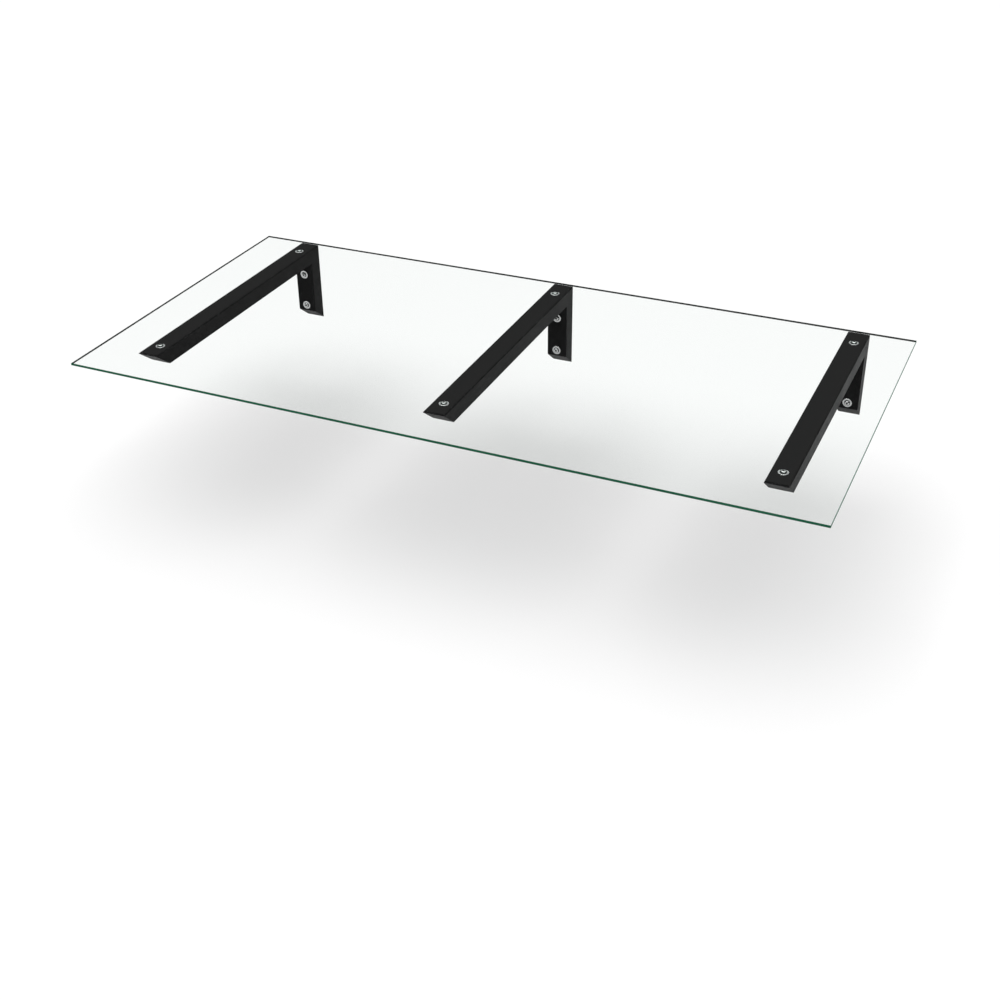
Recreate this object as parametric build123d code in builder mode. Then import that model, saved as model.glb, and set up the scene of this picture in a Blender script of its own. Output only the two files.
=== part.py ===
"""Glass wall shelf on three L-shaped brackets of rectangular hollow section.

Millimetres, +Z up, +X to the right of a person facing the wall. The wall is the plane Y = 0 and the
shelf reaches out to -Y. The origin is on the back of the middle leg, halfway between its wall screws.
"""

import os
from math import cos, radians, sin

from build123d import *

os.makedirs("parts", exist_ok=True)

# Glass pane
glass_width = 1500.0
glass_thickness = 5.0
glass_front = 735.0  # from the wall to the front edge
glass_wall_gap = 1.0  # between the wall and the back edge
glass_arris = 0.6  # ground chamfer along every edge
glass_hole_radius = 6.2

# Brackets
bracket_pitch = 637.5
bracket_centres = {"left": -bracket_pitch, "middle": 0.0, "right": bracket_pitch}
tube_width = 44.0
tube_wall = 3.0
tube_corner_radius = 1.5
tube_bore_corner_radius = 1.0
arm_reach = 639.0
arm_height = 33.0
leg_depth = 36.0
leg_length = 181.0  # from the arm's top to the leg's lowest edge, at the wall
end_slope = 38.2  # both free ends are cut at this angle below horizontal
end_plate_thickness = 3.0

# Fasteners are M6 and share one head and one large washer size
thread_radius = 3.0
thread_tip_chamfer = 0.8
waist_radius = 2.7  # rolled threads leave a thinner plain shank under the head
head_radius = 5.25
head_height = 3.3
head_flat_radius = 3.0
head_rim = 0.3
head_bulge = 0.6  # how far the dome stands out from its chord
socket_across_flats = 4.0
socket_depth = 2.1
washer_radius = 9.5
washer_bore_radius = 3.2
washer_edge = 0.25
thread_clearance = 0.05

# Glass fixings, from the wall. Each screw's head stands in a hole of the glass, below its upper face.
glass_fixings = {"front": -594.0, "rear": -49.5}
glass_screw_length = 16.0
glass_screw_thread = 13.0
support_washer_thickness = 1.0
bush_outer_radius = 6.0
bush_bore_radius = 5.35
bush_height = 1.2  # covers the widest part of the head
thread_bush_radius = 5.5
thread_bush_length = 12.0

# Gasket strip
gasket_width = 40.0
gasket_margin = 5.0  # left bare at each end of the arm
gasket_thickness = support_washer_thickness
gasket_hole_radius = washer_radius + 0.5

# Wall fixings
wall_screw_pitch = 77.0
wall_screw_drop = 62.0  # from the arm's top to the upper wall screw
wall_screw_length = 65.0
wall_screw_thread = 26.0
wall_washer_thickness = 2.0
wall_hole_radius = 3.4
sleeve_outer_radius = 5.5
sleeve_bore_radius = 3.4

# Heights that follow from the sizes above
wall_fixings = {"upper": wall_screw_pitch / 2, "lower": -wall_screw_pitch / 2}
arm_top = wall_fixings["upper"] + wall_screw_drop
leg_bottom = arm_top - leg_length
glass_underside = arm_top + gasket_thickness
glass_top = glass_underside + glass_thickness

# Cutting planes, all square to the YZ plane. The mitre's normal points to the leg, and the ends' normals
# point out of the metal.
mitre = Plane(origin=(0, 0, arm_top), x_dir=(1, 0, 0), z_dir=(0, arm_height, -leg_depth))
slope = radians(end_slope)
outward = Vector(0, -sin(slope), -cos(slope))
arm_end = Plane(origin=(0, -arm_reach, arm_top), x_dir=(1, 0, 0), z_dir=outward)
leg_end = Plane(origin=(0, 0, leg_bottom), x_dir=(1, 0, 0), z_dir=outward)
arm_end_inner = arm_end.offset(-end_plate_thickness)
leg_end_inner = leg_end.offset(-end_plate_thickness)


def keep_inside(plane):
    """Cut the current part by the plane and keep what lies behind its normal."""
    split(bisect_by=plane, keep=Keep.BOTTOM)


def keep_outside(plane):
    """Cut the current part by the plane and keep what lies on its normal's side."""
    split(bisect_by=plane, keep=Keep.TOP)


def arm_section(centre, hollow):
    """The arm's section on the wall plane, facing away from the wall."""
    section_centre = (centre, 0, arm_top - arm_height / 2)
    with BuildSketch(Plane(origin=section_centre, x_dir=(1, 0, 0), z_dir=(0, -1, 0))) as section:
        RectangleRounded(tube_width, arm_height, tube_corner_radius)
        if hollow:
            bore = (tube_width - 2 * tube_wall, arm_height - 2 * tube_wall)
            RectangleRounded(*bore, tube_bore_corner_radius, mode=Mode.SUBTRACT)
    return section.sketch


def leg_section(centre, hollow):
    """The leg's section at the height of the arm's top, facing down."""
    section_centre = (centre, -leg_depth / 2, arm_top)
    with BuildSketch(Plane(origin=section_centre, x_dir=(1, 0, 0), z_dir=(0, 0, -1))) as section:
        RectangleRounded(tube_width, leg_depth, tube_corner_radius)
        if hollow:
            bore = (tube_width - 2 * tube_wall, leg_depth - 2 * tube_wall)
            RectangleRounded(*bore, tube_bore_corner_radius, mode=Mode.SUBTRACT)
    return section.sketch


def wall_seat(centre, height):
    """Plane on the leg's front face at one wall screw, facing away from the wall."""
    return Plane(origin=(centre, -leg_depth, height), x_dir=(1, 0, 0), z_dir=(0, -1, 0))


def save(piece, name):
    """Label the finished piece and write it under its own name."""
    piece.part.label = name
    export_step(piece.part, f"parts/{name}.step")


def ring(plane, outer_radius, bore_radius, thickness):
    """Flat ring that stands on the plane, with its outer top edge eased."""
    with BuildPart() as washer:
        with BuildSketch(plane):
            Circle(outer_radius)
            Circle(bore_radius, mode=Mode.SUBTRACT)
        extrude(amount=thickness)
        rims = washer.edges().filter_by(GeomType.CIRCLE).sort_by(SortBy.RADIUS)[-2:]
        chamfer(rims, length=washer_edge)
    return washer


def tube(plane, outer_radius, bore_radius, length):
    """Plain round tube that starts on the plane."""
    with BuildPart() as sleeve:
        with BuildSketch(plane):
            Circle(outer_radius)
            Circle(bore_radius, mode=Mode.SUBTRACT)
        extrude(amount=length)
    return sleeve


def button_screw(seat, length, thread_length):
    """M6 button-head screw: the head stands on the seat plane and the shank runs down through it."""
    profile_plane = Plane(origin=seat.origin, x_dir=seat.x_dir, z_dir=-seat.y_dir)
    with BuildPart() as screw:
        with BuildSketch(profile_plane):
            with BuildLine():
                dome_top = (head_flat_radius, head_height)
                dome_foot = (head_radius, head_rim)
                Line((0, head_height), dome_top)
                SagittaArc(dome_top, dome_foot, head_bulge)
                Polyline(
                    dome_foot,
                    (head_radius, 0),
                    (waist_radius, 0),
                    (waist_radius, thread_length - length),
                    (thread_radius, thread_length - length),
                    (thread_radius, thread_tip_chamfer - length),
                    (thread_radius - thread_tip_chamfer, -length),
                    (0, -length),
                    (0, head_height),
                )
            make_face()
        revolve(axis=Axis(seat.origin, seat.z_dir))
        with BuildSketch(seat.offset(head_height)):
            RegularPolygon(socket_across_flats / 2, 6, major_radius=False)
        extrude(amount=-socket_depth, mode=Mode.SUBTRACT)
    return screw


# Glass pane
with BuildPart() as glass_pane:
    pane_middle = -(glass_front + glass_wall_gap) / 2
    with BuildSketch(Plane((0, pane_middle, glass_underside))):
        Rectangle(glass_width, glass_front - glass_wall_gap)
    extrude(amount=glass_thickness)
    chamfer(glass_pane.edges().filter_by(Axis.Z, reverse=True), length=glass_arris)
    fixing_points = [(x, y, glass_top) for x in bracket_centres.values() for y in glass_fixings.values()]
    with Locations(*fixing_points):
        Hole(glass_hole_radius)
save(glass_pane, "glass_pane")


def build_bracket(side, centre):
    """One welded bracket: two mitred tubes and an end plate in each free end."""
    with BuildPart() as arm_tube:
        extrude(arm_section(centre, hollow=True), amount=arm_reach)
        keep_inside(mitre)
        keep_inside(arm_end_inner)
        with Locations(*[(centre, y, arm_top) for y in glass_fixings.values()]):
            Hole(thread_bush_radius + thread_clearance, depth=2 * tube_wall)
    save(arm_tube, f"{side}_arm_tube")

    with BuildPart() as leg_tube:
        extrude(leg_section(centre, hollow=True), amount=leg_length)
        keep_outside(mitre)
        keep_inside(leg_end_inner)
        with Locations(*[wall_seat(centre, z) for z in wall_fixings.values()]):
            Hole(wall_hole_radius)
    save(leg_tube, f"{side}_leg_tube")

    with BuildPart() as arm_end_plate:
        extrude(arm_section(centre, hollow=False), amount=arm_reach)
        keep_inside(arm_end)
        keep_outside(arm_end_inner)
    save(arm_end_plate, f"{side}_arm_end_plate")

    with BuildPart() as leg_end_plate:
        extrude(leg_section(centre, hollow=False), amount=leg_length)
        keep_inside(leg_end)
        keep_outside(leg_end_inner)
    save(leg_end_plate, f"{side}_leg_end_plate")

    with BuildPart() as gasket_strip:
        with BuildSketch(Plane((centre, -arm_reach / 2, arm_top))):
            Rectangle(gasket_width, arm_reach - 2 * gasket_margin)
        extrude(amount=gasket_thickness)
        with Locations(*[(centre, y, glass_underside) for y in glass_fixings.values()]):
            Hole(gasket_hole_radius)
    save(gasket_strip, f"{side}_gasket_strip")


def build_glass_fixing(name, centre, distance):
    """Screw, bush, support washer and threaded bush at one hole in the glass."""
    arm_seat = Plane((centre, distance, arm_top))
    screw_seat = arm_seat.offset(support_washer_thickness)

    thread_bush = tube(
        arm_seat.offset(-thread_bush_length),
        thread_bush_radius,
        thread_radius + thread_clearance,
        thread_bush_length,
    )
    save(thread_bush, f"{name}_thread_bush")

    support_washer = ring(arm_seat, washer_radius, washer_bore_radius, support_washer_thickness)
    save(support_washer, f"{name}_support_washer")

    glass_bush = tube(screw_seat, bush_outer_radius, bush_bore_radius, bush_height)
    save(glass_bush, f"{name}_glass_bush")

    glass_screw = button_screw(screw_seat, glass_screw_length, glass_screw_thread)
    save(glass_screw, f"{name}_glass_screw")


def build_wall_fixing(name, centre, height):
    """Screw, washer and crush sleeve at one hole through the leg."""
    seat = wall_seat(centre, height)

    wall_washer = ring(seat, washer_radius, washer_bore_radius, wall_washer_thickness)
    save(wall_washer, f"{name}_wall_washer")

    screw_seat = seat.offset(wall_washer_thickness)
    wall_screw = button_screw(screw_seat, wall_screw_length, wall_screw_thread)
    save(wall_screw, f"{name}_wall_screw")

    crush_sleeve = tube(
        seat.offset(tube_wall - leg_depth),
        sleeve_outer_radius,
        sleeve_bore_radius,
        leg_depth - 2 * tube_wall,
    )
    save(crush_sleeve, f"{name}_crush_sleeve")


for side, centre in bracket_centres.items():
    build_bracket(side, centre)
    for place, distance in glass_fixings.items():
        build_glass_fixing(f"{side}_{place}", centre, distance)
    for level, height in wall_fixings.items():
        build_wall_fixing(f"{side}_{level}", centre, height)
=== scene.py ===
"""Looks of the glass wall shelf: materials, the glass pane's own mesh, threads, studio and camera."""

import math

import bmesh
import bpy
from mathutils import Matrix, Vector


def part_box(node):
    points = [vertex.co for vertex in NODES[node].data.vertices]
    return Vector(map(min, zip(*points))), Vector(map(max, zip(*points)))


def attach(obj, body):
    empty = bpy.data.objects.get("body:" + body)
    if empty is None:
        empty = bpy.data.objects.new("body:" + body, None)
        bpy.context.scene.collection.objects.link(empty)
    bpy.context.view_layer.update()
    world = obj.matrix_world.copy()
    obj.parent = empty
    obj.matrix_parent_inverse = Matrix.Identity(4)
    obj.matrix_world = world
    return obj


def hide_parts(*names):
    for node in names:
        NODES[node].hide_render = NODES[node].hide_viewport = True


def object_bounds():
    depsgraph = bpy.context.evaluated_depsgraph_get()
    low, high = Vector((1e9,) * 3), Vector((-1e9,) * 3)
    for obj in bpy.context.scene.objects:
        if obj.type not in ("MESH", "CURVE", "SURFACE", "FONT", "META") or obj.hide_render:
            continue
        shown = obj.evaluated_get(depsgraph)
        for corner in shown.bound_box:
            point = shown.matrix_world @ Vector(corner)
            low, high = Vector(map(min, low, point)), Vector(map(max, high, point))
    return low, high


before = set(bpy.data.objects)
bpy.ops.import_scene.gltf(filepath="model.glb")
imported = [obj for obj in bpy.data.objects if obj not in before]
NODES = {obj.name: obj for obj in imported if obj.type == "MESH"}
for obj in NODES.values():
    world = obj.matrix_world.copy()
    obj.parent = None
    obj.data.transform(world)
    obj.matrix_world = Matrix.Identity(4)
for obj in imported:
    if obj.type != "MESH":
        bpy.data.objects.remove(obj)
CAD_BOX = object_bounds()
MM = 0.001

# Socket places on the Mix node, which has one set of inputs and one output for each data type
FLOAT_A, FLOAT_B, FLOAT_RESULT = 2, 3, 0
COLOUR_A, COLOUR_B, COLOUR_RESULT = 6, 7, 2


# ---------------------------------------------------------------- node helpers


def new_material(name):
    """Empty node material with a Principled shader on its output."""
    material = bpy.data.materials.new(name)
    material.use_nodes = True
    tree = material.node_tree
    tree.nodes.clear()
    shader = tree.nodes.new("ShaderNodeBsdfPrincipled")
    output = tree.nodes.new("ShaderNodeOutputMaterial")
    tree.links.new(shader.outputs["BSDF"], output.inputs["Surface"])
    return material, tree, shader, output


def noise(tree, coordinates, scale, detail=3.0, roughness=0.55):
    """3-D noise on the given coordinates."""
    node = tree.nodes.new("ShaderNodeTexNoise")
    node.inputs["Scale"].default_value = scale
    node.inputs["Detail"].default_value = detail
    node.inputs["Roughness"].default_value = roughness
    tree.links.new(coordinates, node.inputs["Vector"])
    return node.outputs["Fac"]


def remap(tree, value, from_low, from_high, to_low, to_high):
    """Linear rescale of one value, clamped at both ends."""
    node = tree.nodes.new("ShaderNodeMapRange")
    limits = {"From Min": from_low, "From Max": from_high, "To Min": to_low, "To Max": to_high}
    for socket, number in limits.items():
        node.inputs[socket].default_value = number
    tree.links.new(value, node.inputs["Value"])
    return node.outputs["Result"]


def blend_colours(tree, factor, low, high):
    """Colour that runs from low to high as the factor runs from 0 to 1."""
    node = tree.nodes.new("ShaderNodeMix")
    node.data_type = "RGBA"
    for socket, colour in ((node.inputs[COLOUR_A], low), (node.inputs[COLOUR_B], high)):
        if isinstance(colour, tuple):
            socket.default_value = (*colour, 1.0)
        else:
            tree.links.new(colour, socket)
    tree.links.new(factor, node.inputs[0])
    return node.outputs[COLOUR_RESULT]


def math_node(tree, operation, first, second):
    """One arithmetic step on two values, either of which may be a plain number."""
    node = tree.nodes.new("ShaderNodeMath")
    node.operation = operation
    for socket, value in zip(node.inputs, (first, second)):
        if isinstance(value, float):
            socket.default_value = value
        else:
            tree.links.new(value, socket)
    return node.outputs["Value"]


def bump(tree, height, distance, strength, previous=None):
    """Bump normal from a height, on top of an earlier one if given."""
    node = tree.nodes.new("ShaderNodeBump")
    node.inputs["Strength"].default_value = strength
    node.inputs["Distance"].default_value = distance
    tree.links.new(height, node.inputs["Height"])
    if previous is not None:
        tree.links.new(previous, node.inputs["Normal"])
    return node.outputs["Normal"]


def object_coordinates(tree):
    """Position in the piece's own metres."""
    return tree.nodes.new("ShaderNodeTexCoord").outputs["Object"]


# ---------------------------------------------------------------- materials


def powder_coat():
    """Matte black powder coat: fine orange peel, speckled grain and a faint cloudy sheen."""
    material, tree, shader, _ = new_material("black_powder_coat")
    position = object_coordinates(tree)
    cloud = noise(tree, position, 9.0, detail=4.0)
    grain = noise(tree, position, 900.0, detail=2.0)
    peel = noise(tree, position, 420.0, detail=2.0)
    speckle = remap(tree, grain, 0.35, 0.7, 0.0, 1.0)
    colour = blend_colours(tree, speckle, (0.010, 0.010, 0.0103), (0.015, 0.015, 0.0153))
    tree.links.new(colour, shader.inputs["Base Color"])
    tree.links.new(remap(tree, cloud, 0.3, 0.7, 0.34, 0.44), shader.inputs["Roughness"])
    normal = bump(tree, peel, 0.05 * MM, 0.35)
    normal = bump(tree, grain, 0.02 * MM, 0.3, normal)
    tree.links.new(normal, shader.inputs["Normal"])
    shader.inputs["Specular IOR Level"].default_value = 0.05
    return material


def turned_steel(name, axis, painted_shade_bands, roughness):
    """Stainless steel with fine turning marks round the piece's own axis, with painted shade in the given
    bands.

    A band is its inner and outer radius as shares of the piece's radius, painted near-black as the shade in
    the socket, round the head's rim and in the gap under the head.
    The roughness is its lowest and highest value.
    """
    material, tree, shader, _ = new_material(name)
    generated = tree.nodes.new("ShaderNodeTexCoord").outputs["Generated"]
    centred = tree.nodes.new("ShaderNodeVectorMath")
    centred.operation = "SUBTRACT"
    centred.inputs[1].default_value = (0.5, 0.5, 0.5)
    flat = tree.nodes.new("ShaderNodeVectorMath")
    flat.operation = "MULTIPLY"
    flat.inputs[1].default_value = (2.0, 0.0, 2.0) if axis == "Y" else (2.0, 2.0, 0.0)
    length = tree.nodes.new("ShaderNodeVectorMath")
    length.operation = "LENGTH"
    tree.links.new(generated, centred.inputs[0])
    tree.links.new(centred.outputs["Vector"], flat.inputs[0])
    tree.links.new(flat.outputs["Vector"], length.inputs[0])
    radius = length.outputs["Value"]
    rings = tree.nodes.new("ShaderNodeTexNoise")
    rings.noise_dimensions = "1D"
    rings.inputs["Scale"].default_value = 30.0
    rings.inputs["Detail"].default_value = 2.0
    tree.links.new(radius, rings.inputs["W"])
    turned = rings.outputs["Fac"]
    colour = blend_colours(tree, turned, (0.74, 0.75, 0.75), (0.92, 0.93, 0.93))
    softness = 0.03
    # Painted shade: each band blends the steel towards near-black
    for inner, outer in painted_shade_bands:
        above = remap(tree, radius, inner - softness, inner + softness, 0.0, 1.0)
        below = remap(tree, radius, outer - softness, outer + softness, 1.0, 0.0)
        band = math_node(tree, "MULTIPLY", above, below)
        colour = blend_colours(tree, band, colour, (0.05, 0.05, 0.05))
    tree.links.new(colour, shader.inputs["Base Color"])
    smudge = noise(tree, object_coordinates(tree), 260.0)
    tree.links.new(remap(tree, smudge, 0.3, 0.7, *roughness), shader.inputs["Roughness"])
    tree.links.new(bump(tree, turned, 0.05 * MM, 0.25), shader.inputs["Normal"])
    shader.inputs["Metallic"].default_value = 1.0
    return material


def plated_steel():
    """Zinc-plated steel for the pieces inside the tubes: cloudy blue-grey."""
    material, tree, shader, _ = new_material("zinc_steel")
    position = object_coordinates(tree)
    cloud = noise(tree, position, 180.0, detail=5.0)
    colour = blend_colours(tree, cloud, (0.42, 0.45, 0.50), (0.60, 0.61, 0.62))
    tree.links.new(colour, shader.inputs["Base Color"])
    tree.links.new(remap(tree, cloud, 0.3, 0.7, 0.35, 0.5), shader.inputs["Roughness"])
    shader.inputs["Metallic"].default_value = 1.0
    return material


def dark_moulding(name, colour, roughness, scale, relief):
    """Black rubber or nylon with a fine moulded grain."""
    material, tree, shader, _ = new_material(name)
    lighter_share, spread = 1.6, 0.06
    grain = noise(tree, object_coordinates(tree), scale, detail=4.0)
    lighter = tuple(lighter_share * channel for channel in colour)
    tree.links.new(blend_colours(tree, grain, colour, lighter), shader.inputs["Base Color"])
    uneven = remap(tree, grain, 0.3, 0.7, roughness - spread, roughness + spread)
    tree.links.new(uneven, shader.inputs["Roughness"])
    tree.links.new(bump(tree, grain, relief, 0.4), shader.inputs["Normal"])
    shader.inputs["Specular IOR Level"].default_value = 0.3
    return material


def clear_glass():
    """Polished glass. Direct and bounced light passes straight through it, dimmed, for a soft shadow."""
    material, tree, shader, output = new_material("clear_glass")
    smear = noise(tree, object_coordinates(tree), 3.5, detail=5.0)
    tree.links.new(remap(tree, smear, 0.35, 0.75, 0.0, 0.035), shader.inputs["Roughness"])
    shader.inputs["Base Color"].default_value = (0.928, 0.946, 0.937, 1.0)
    shader.inputs["Transmission Weight"].default_value = 1.0
    shader.inputs["IOR"].default_value = 1.05
    dimmed = tree.nodes.new("ShaderNodeBsdfTransparent")
    dimmed.inputs["Color"].default_value = (0.875, 0.875, 0.875, 1.0)
    path = tree.nodes.new("ShaderNodeLightPath")
    surface = shader.outputs["BSDF"]
    for ray in ("Is Shadow Ray", "Is Diffuse Ray"):
        either = tree.nodes.new("ShaderNodeMixShader")
        tree.links.new(path.outputs[ray], either.inputs[0])
        tree.links.new(surface, either.inputs[1])
        tree.links.new(dimmed.outputs["BSDF"], either.inputs[2])
        surface = either.outputs["Shader"]
    tree.links.new(surface, output.inputs["Surface"])
    return material


def glass_edge(name, deep, pale):
    """Ground and polished edge: green from outside, and from inside, through the pane, a painted near-black
    that stands in for the shade the edge shows through the glass.
    """
    along_the_edge = (1.0, 1.0, 60.0)
    # Painted shade: the near-black colour an edge gets when seen from inside, through the pane
    painted_shade_from_inside = (0.035, 0.042, 0.039)
    material, tree, shader, _ = new_material(name)
    stretched = tree.nodes.new("ShaderNodeMapping")
    stretched.inputs["Scale"].default_value = along_the_edge
    tree.links.new(object_coordinates(tree), stretched.inputs["Vector"])
    streaks = noise(tree, stretched.outputs["Vector"], 14.0, detail=4.0)
    green = blend_colours(tree, remap(tree, streaks, 0.3, 0.7, 0.0, 1.0), deep, pale)
    inside = tree.nodes.new("ShaderNodeNewGeometry").outputs["Backfacing"]
    tree.links.new(blend_colours(tree, inside, green, painted_shade_from_inside), shader.inputs["Base Color"])
    tree.links.new(remap(tree, streaks, 0.3, 0.7, 0.15, 0.3), shader.inputs["Roughness"])
    shader.inputs["Specular IOR Level"].default_value = 0.15
    return material


def drilled_glass():
    """Wall of a hole in the pane: finely ground, faintly green, and clear enough to see through."""
    material, tree, shader, _ = new_material("glass_hole")
    grinding = noise(tree, object_coordinates(tree), 1500.0)
    colour = blend_colours(tree, grinding, (0.70, 0.84, 0.78), (0.88, 0.96, 0.92))
    tree.links.new(colour, shader.inputs["Base Color"])
    tree.links.new(remap(tree, grinding, 0.3, 0.7, 0.04, 0.12), shader.inputs["Roughness"])
    shader.inputs["Transmission Weight"].default_value = 1.0
    shader.inputs["IOR"].default_value = 1.01
    return material


# Bands of painted shade (socket, head's rim, gap under the head) as shares of a screw's or washer's radius,
# and two ranges of roughness
SOCKET_SHADE = (-1.0, 0.42)
HEAD_SHADE = (0.92, 2.0)
UNDER_HEAD_SHADE = (-1.0, 0.66)
SATIN, BEAD_BLASTED = (0.20, 0.30), (0.36, 0.46)

COAT = powder_coat()
UPRIGHT_SCREW = turned_steel("stainless_screw_upright", "Z", (SOCKET_SHADE, HEAD_SHADE), BEAD_BLASTED)
UPRIGHT_WASHER = turned_steel("stainless_washer_upright", "Z", (UNDER_HEAD_SHADE,), BEAD_BLASTED)
LEVEL_SCREW = turned_steel("stainless_screw_level", "Y", (SOCKET_SHADE, HEAD_SHADE), SATIN)
LEVEL_WASHER = turned_steel("stainless_washer_level", "Y", (UNDER_HEAD_SHADE,), SATIN)
ZINC = plated_steel()
RUBBER = dark_moulding("black_rubber", (0.010, 0.010, 0.010), 0.8, 700.0, 0.05 * MM)
NYLON = dark_moulding("black_nylon", (0.012, 0.012, 0.012), 0.5, 1200.0, 0.02 * MM)
GLASS = clear_glass()
# Both edges are the same green glass; the side edges get a lighter copy, painted light for how brightly they
# show
EDGE_FRONT = glass_edge("glass_edge_front", (0.004, 0.090, 0.042), (0.012, 0.125, 0.064))
EDGE_SIDE_PAINTED_LIGHTER = glass_edge("glass_edge_side_painted_lighter", (0.004, 0.115, 0.060), (0.014, 0.165, 0.100))
HOLE = drilled_glass()

MATERIAL_BY_ENDING = {
    "_tube": COAT,
    "_end_plate": COAT,
    "_gasket_strip": RUBBER,
    "_glass_bush": NYLON,
    "_support_washer": UPRIGHT_WASHER,
    "_glass_screw": UPRIGHT_SCREW,
    "_wall_screw": LEVEL_SCREW,
    "_wall_washer": LEVEL_WASHER,
    "_thread_bush": ZINC,
    "_crush_sleeve": ZINC,
}


def paint_cad_nodes():
    """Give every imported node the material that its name's ending calls for."""
    for name, node in NODES.items():
        for ending, material in MATERIAL_BY_ENDING.items():
            if name.endswith(ending):
                node.data.materials.clear()
                node.data.materials.append(material)


# ---------------------------------------------------------------- glass pane


def build_pane():
    """The pane's own mesh, with its faces sorted into clear faces, long edges, side edges and hole walls."""
    pane = bpy.data.objects.new("pane", NODES["glass_pane"].data.copy())
    bpy.context.scene.collection.objects.link(pane)
    pane.data.materials.clear()
    for material in (GLASS, EDGE_FRONT, EDGE_SIDE_PAINTED_LIGHTER, HOLE):
        pane.data.materials.append(material)
    clear_face, long_edge, side_edge, hole_wall = range(4)
    low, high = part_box("glass_pane")
    rim = 2 * MM
    upright = 0.9
    for face in pane.data.polygons:
        middle = face.center
        on_side = middle.x < low.x + rim or middle.x > high.x - rim
        on_long_edge = middle.y < low.y + rim or middle.y > high.y - rim
        if abs(face.normal.z) > upright:
            face.material_index = clear_face
        elif on_side or on_long_edge:
            face.material_index = long_edge if abs(face.normal.y) > abs(face.normal.x) else side_edge
        else:
            face.material_index = hole_wall
    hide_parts("glass_pane")
    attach(pane, "root")


# ---------------------------------------------------------------- wall screws


def thread_surface(mesh, centre, start, end):
    """Add the screw's threaded free end to the mesh: a turned surface whose radius follows the helix."""
    outer_radius, depth, pitch = 2.95 * MM, 0.55 * MM, 1.0 * MM
    tip_chamfer = 0.8 * MM
    rings_per_turn, sides = 6, 32  # mesh rows along one turn, and corners round it
    rings = round((end - start) / pitch * rings_per_turn)
    rows = []
    for row in range(rings + 1):
        along = start + (end - start) * row / rings
        limit = outer_radius - max(0.0, tip_chamfer - (end - along))
        corners = []
        for side in range(sides):
            share = side / sides
            phase = ((along - start) / pitch - share) % 1.0
            radius = outer_radius - depth * (1.0 - abs(2.0 * phase - 1.0))
            radius = min(radius, limit)
            angle = 2 * math.pi * share
            place = (centre.x + radius * math.cos(angle), along, centre.z + radius * math.sin(angle))
            corners.append(mesh.verts.new(place))
        rows.append(corners)
    for near, far in zip(rows, rows[1:]):
        for side in range(sides):
            after = (side + 1) % sides
            mesh.faces.new((near[side], far[side], far[after], near[after]))
    mesh.faces.new(rows[0])
    mesh.faces.new(list(reversed(rows[-1])))


def build_wall_screw(node_name):
    """The screw as packed, with its plain free end swapped for a cut thread."""
    low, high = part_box(node_name)
    centre = (low + high) / 2
    thread_start = 1.5 * MM
    mesh = bmesh.new()
    mesh.from_mesh(NODES[node_name].data)
    everything = mesh.verts[:] + mesh.edges[:] + mesh.faces[:]
    cut = bmesh.ops.bisect_plane(
        mesh, geom=everything, plane_co=(0, thread_start, 0), plane_no=(0, 1, 0), clear_outer=True
    )
    rim = [part for part in cut["geom_cut"] if isinstance(part, bmesh.types.BMEdge)]
    bmesh.ops.holes_fill(mesh, edges=rim)
    thread_surface(mesh, centre, thread_start, high.y)
    data = bpy.data.meshes.new(f"threaded_{node_name}")
    mesh.to_mesh(data)
    mesh.free()
    data.materials.append(LEVEL_SCREW)
    screw = bpy.data.objects.new(f"threaded_{node_name}", data)
    bpy.context.scene.collection.objects.link(screw)
    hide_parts(node_name)
    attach(screw, "root")


# ---------------------------------------------------------------- studio


def build_floor():
    """Wide white floor a little below the brackets."""
    half = 30.0
    drop = 0.17
    colour, mirrored_colour = (0.93, 0.93, 0.93), (0.60, 0.60, 0.60)
    height = CAD_BOX[0].z - drop
    mesh = bpy.data.meshes.new("floor")
    corners = [(-half, -half, height), (half, -half, height), (half, half, height), (-half, half, height)]
    mesh.from_pydata(corners, [], [(0, 1, 2, 3)])
    floor = bpy.data.objects.new("floor", mesh)
    bpy.context.scene.collection.objects.link(floor)
    material, tree, shader, _ = new_material("studio_floor")
    shader.inputs["Roughness"].default_value = 0.9
    shader.inputs["Specular IOR Level"].default_value = 0.0
    path = tree.nodes.new("ShaderNodeLightPath")
    reflection = math_node(tree, "MULTIPLY", path.outputs["Is Glossy Ray"], path.outputs["Is Reflection Ray"])
    tree.links.new(blend_colours(tree, reflection, colour, mirrored_colour), shader.inputs["Base Color"])
    mesh.materials.append(material)


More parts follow.
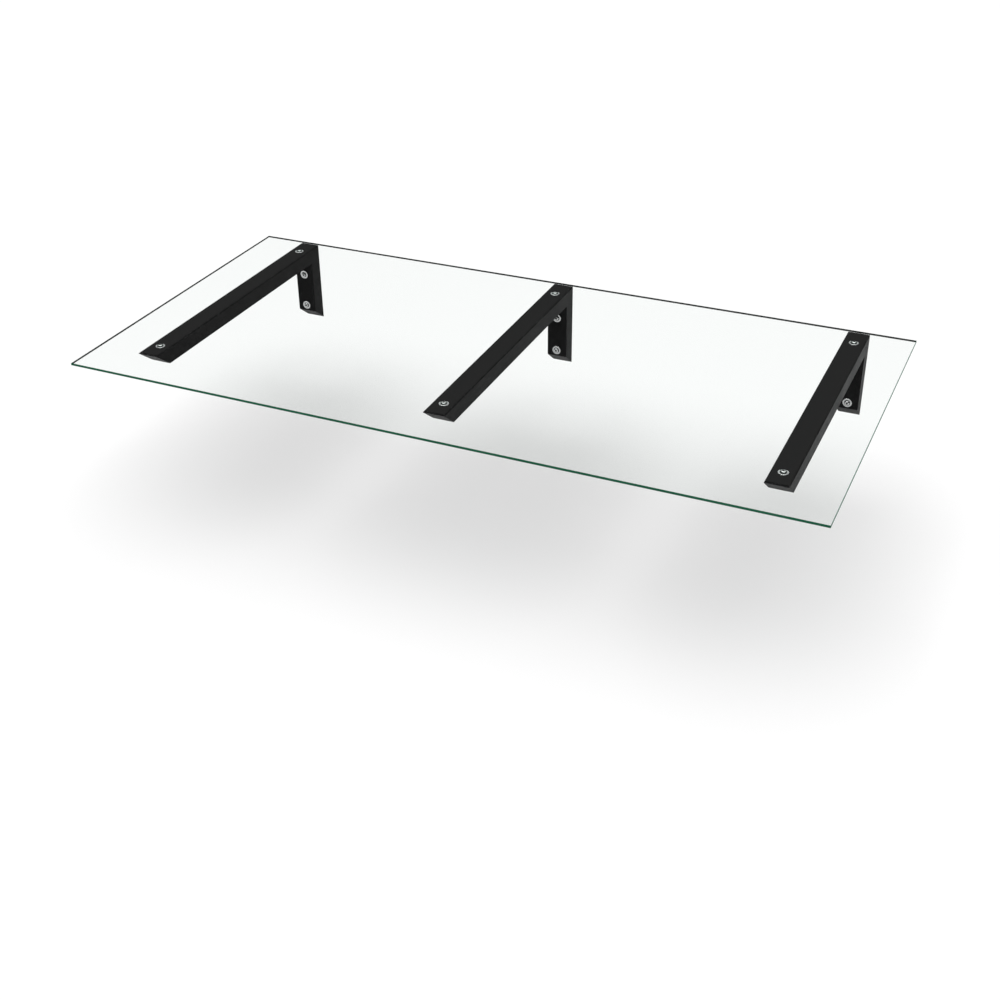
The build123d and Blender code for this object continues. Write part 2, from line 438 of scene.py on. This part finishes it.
def build_world():
    """Even surroundings: white to the eye, weak as a lamp, and dark in reflections."""
    first = 0.5  # a ray's depth is below this until its first bounce of that kind
    seen_strength, lamp_strength, mirrored_strength = 1.0, 0.04, 0.03
    world = bpy.data.worlds.new("studio")
    bpy.context.scene.world = world
    world.use_nodes = True
    tree = world.node_tree
    tree.nodes.clear()
    path = tree.nodes.new("ShaderNodeLightPath")
    before_diffuse = math_node(tree, "LESS_THAN", path.outputs["Diffuse Depth"], first)
    before_mirror = math_node(tree, "LESS_THAN", path.outputs["Glossy Depth"], first)
    through_glass = math_node(tree, "MULTIPLY", path.outputs["Is Transmission Ray"], before_diffuse)
    straight_through = math_node(tree, "MULTIPLY", through_glass, before_mirror)
    seen = math_node(tree, "MAXIMUM", path.outputs["Is Camera Ray"], straight_through)
    shiny = math_node(tree, "MAXIMUM", path.outputs["Is Glossy Ray"], path.outputs["Is Transmission Ray"])
    mirrored = math_node(tree, "MULTIPLY", shiny, before_diffuse)
    strength = lamp_strength
    for chosen, level in ((mirrored, mirrored_strength), (seen, seen_strength)):
        mix = tree.nodes.new("ShaderNodeMix")
        tree.links.new(chosen, mix.inputs["Factor"])
        if isinstance(strength, float):
            mix.inputs[FLOAT_A].default_value = strength
        else:
            tree.links.new(strength, mix.inputs[FLOAT_A])
        mix.inputs[FLOAT_B].default_value = level
        strength = mix.outputs[FLOAT_RESULT]
    background = tree.nodes.new("ShaderNodeBackground")
    output = tree.nodes.new("ShaderNodeOutputWorld")
    background.inputs["Color"].default_value = (1.0, 1.0, 1.0, 1.0)
    tree.links.new(strength, background.inputs["Strength"])
    tree.links.new(background.outputs["Background"], output.inputs["Surface"])


def build_sun():
    """Very wide, soft light from straight above."""
    data = bpy.data.lights.new("soft_sky", "SUN")
    data.energy = 3.4
    data.angle = math.radians(79.0)
    lamp = bpy.data.objects.new("soft_sky", data)
    bpy.context.scene.collection.objects.link(lamp)
    falls_towards = Vector((0.01, 0.03, -1.0))
    lamp.rotation_euler = falls_towards.to_track_quat("-Z", "Y").to_euler()


def build_camera():
    """Camera from the front right and above, at the reference view's angle."""
    azimuth, elevation, roll = math.radians(26.01), math.radians(30.77), math.radians(-1.50)
    place = Vector((1.0689, -2.6988, 1.3517))
    forward = Vector((
        -math.sin(azimuth) * math.cos(elevation),
        math.cos(azimuth) * math.cos(elevation),
        -math.sin(elevation),
    ))
    data = bpy.data.cameras.new("camera")
    data.sensor_width = 36.0
    data.lens = 51.80
    data.shift_x = 0.034
    data.shift_y = -0.025
    camera = bpy.data.objects.new("camera", data)
    bpy.context.scene.collection.objects.link(camera)
    level = forward.to_track_quat("-Z", "Y").to_matrix().to_4x4()
    camera.matrix_world = Matrix.Translation(place) @ level @ Matrix.Rotation(roll, 4, "Z")
    bpy.context.scene.camera = camera


paint_cad_nodes()
build_pane()
for screw_name in [name for name in NODES if name.endswith("_wall_screw")]:
    build_wall_screw(screw_name)
build_floor()
build_world()
build_sun()
build_camera()

bpy.context.scene.view_settings.view_transform = "Standard"
